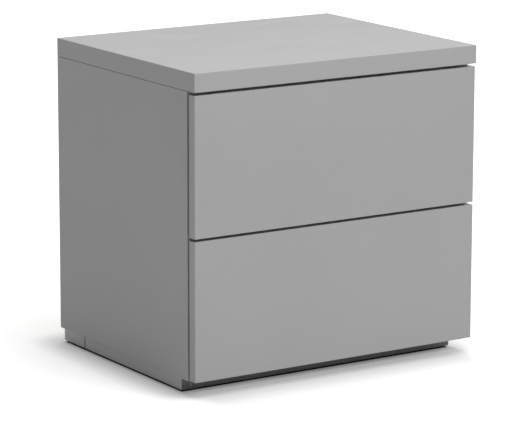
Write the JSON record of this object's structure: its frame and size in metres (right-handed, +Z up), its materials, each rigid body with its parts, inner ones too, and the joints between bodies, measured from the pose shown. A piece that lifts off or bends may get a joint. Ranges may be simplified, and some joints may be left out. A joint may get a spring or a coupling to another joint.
{
  "type": "nightstand with drawers",
  "caption": "Handleless bedside cabinet in grey lacquered board, with push-to-open drawers on ball-bearing slides and a recessed plinth.",
  "frame": {"origin": "on the floor, under the middle of the stand's footprint", "axes": "+Z up, -Y out of the drawer fronts, +X to the right of someone who faces the fronts"},
  "size_m": [0.5, 0.4, 0.48],
  "materials": {
    "grey_lacquer": "smooth mid-grey satin-gloss lacquer on board",
    "grey_melamine": "matt grey melamine face with a fine woven emboss",
    "hardboard": "thin hardboard, printed grey on its good face",
    "zinc_plated_steel": "bright zinc plate",
    "bolt_steel": "plain steel",
    "black_plastic": "moulded, finely grained",
    "dark_nylon": "moulded"
  },
  "bodies": {
    "carcass": {"top_panel": "grey_lacquer", "side_panel_left": "grey_lacquer", "side_panel_right": "grey_lacquer", "bottom_panel": "grey_lacquer", "top_front_rail": "grey_lacquer", "middle_front_rail": "grey_lacquer", "plinth_side_left": "grey_lacquer", "plinth_side_right": "grey_lacquer", "plinth_corner_block_left": "grey_lacquer", "plinth_corner_block_right": "grey_lacquer", "plinth_front": "grey_lacquer", "plinth_rear_rail": "grey_lacquer", "back_panel": "hardboard", "glide_front_left": "dark_nylon", "glide_front_right": "dark_nylon", "glide_rear_left": "dark_nylon", "glide_rear_right": "dark_nylon", "top_cam_front_left": "zinc_plated_steel", "top_cam_front_right": "zinc_plated_steel", "top_cam_rear_left": "zinc_plated_steel", "top_cam_rear_right": "zinc_plated_steel", "top_cam_bolt_front_left": "bolt_steel", "top_cam_bolt_front_right": "bolt_steel", "top_cam_bolt_rear_left": "bolt_steel", "top_cam_bolt_rear_right": "bolt_steel", "upper_drawer_slide_left_case_member": "zinc_plated_steel", "upper_drawer_slide_right_case_member": "zinc_plated_steel", "lower_drawer_slide_left_case_member": "zinc_plated_steel", "lower_drawer_slide_right_case_member": "zinc_plated_steel", "upper_drawer_slide_left_push_catch": "black_plastic", "upper_drawer_slide_right_push_catch": "black_plastic", "lower_drawer_slide_left_push_catch": "black_plastic", "lower_drawer_slide_right_push_catch": "black_plastic"},
    "upper_drawer": {"upper_drawer_front": "grey_lacquer", "upper_drawer_side_left": "grey_melamine", "upper_drawer_side_right": "grey_melamine", "upper_drawer_back": "grey_melamine", "upper_drawer_bottom": "hardboard", "upper_drawer_cam_left": "zinc_plated_steel", "upper_drawer_cam_bolt_left": "bolt_steel", "upper_drawer_slide_left_drawer_member": "zinc_plated_steel", "upper_drawer_cam_right": "zinc_plated_steel", "upper_drawer_cam_bolt_right": "bolt_steel", "upper_drawer_slide_right_drawer_member": "zinc_plated_steel"},
    "lower_drawer": {"lower_drawer_front": "grey_lacquer", "lower_drawer_side_left": "grey_melamine", "lower_drawer_side_right": "grey_melamine", "lower_drawer_back": "grey_melamine", "lower_drawer_bottom": "hardboard", "lower_drawer_cam_left": "zinc_plated_steel", "lower_drawer_cam_bolt_left": "bolt_steel", "lower_drawer_slide_left_drawer_member": "zinc_plated_steel", "lower_drawer_cam_right": "zinc_plated_steel", "lower_drawer_cam_bolt_right": "bolt_steel", "lower_drawer_slide_right_drawer_member": "zinc_plated_steel"},
    "upper_drawer_slide_left_middle": {"upper_drawer_slide_left_middle_member": "zinc_plated_steel"},
    "upper_drawer_slide_right_middle": {"upper_drawer_slide_right_middle_member": "zinc_plated_steel"},
    "lower_drawer_slide_left_middle": {"lower_drawer_slide_left_middle_member": "zinc_plated_steel"},
    "lower_drawer_slide_right_middle": {"lower_drawer_slide_right_middle_member": "zinc_plated_steel"}
  },
  "joints": [
    {"name": "upper_drawer_travel", "type": "slide", "parent": "carcass", "child": "upper_drawer", "axis": [0, -1, 0], "range_m": [-0.003, 0.34]},
    {"name": "lower_drawer_travel", "type": "slide", "parent": "carcass", "child": "lower_drawer", "axis": [0, -1, 0], "range_m": [-0.003, 0.34]},
    {"name": "upper_drawer_slide_left_middle_travel", "type": "slide", "parent": "carcass", "child": "upper_drawer_slide_left_middle", "axis": [0, -1, 0], "range_m": [-0.0015, 0.17]},
    {"name": "upper_drawer_slide_right_middle_travel", "type": "slide", "parent": "carcass", "child": "upper_drawer_slide_right_middle", "axis": [0, -1, 0], "range_m": [-0.0015, 0.17]},
    {"name": "lower_drawer_slide_left_middle_travel", "type": "slide", "parent": "carcass", "child": "lower_drawer_slide_left_middle", "axis": [0, -1, 0], "range_m": [-0.0015, 0.17]},
    {"name": "lower_drawer_slide_right_middle_travel", "type": "slide", "parent": "carcass", "child": "lower_drawer_slide_right_middle", "axis": [0, -1, 0], "range_m": [-0.0015, 0.17]}
  ],
  "couplings": [
    {"joint": "upper_drawer_slide_left_middle_travel", "follows": "upper_drawer_travel", "ratio": 0.5},
    {"joint": "upper_drawer_slide_right_middle_travel", "follows": "upper_drawer_travel", "ratio": 0.5},
    {"joint": "lower_drawer_slide_left_middle_travel", "follows": "lower_drawer_travel", "ratio": 0.5},
    {"joint": "lower_drawer_slide_right_middle_travel", "follows": "lower_drawer_travel", "ratio": 0.5}
  ]
}
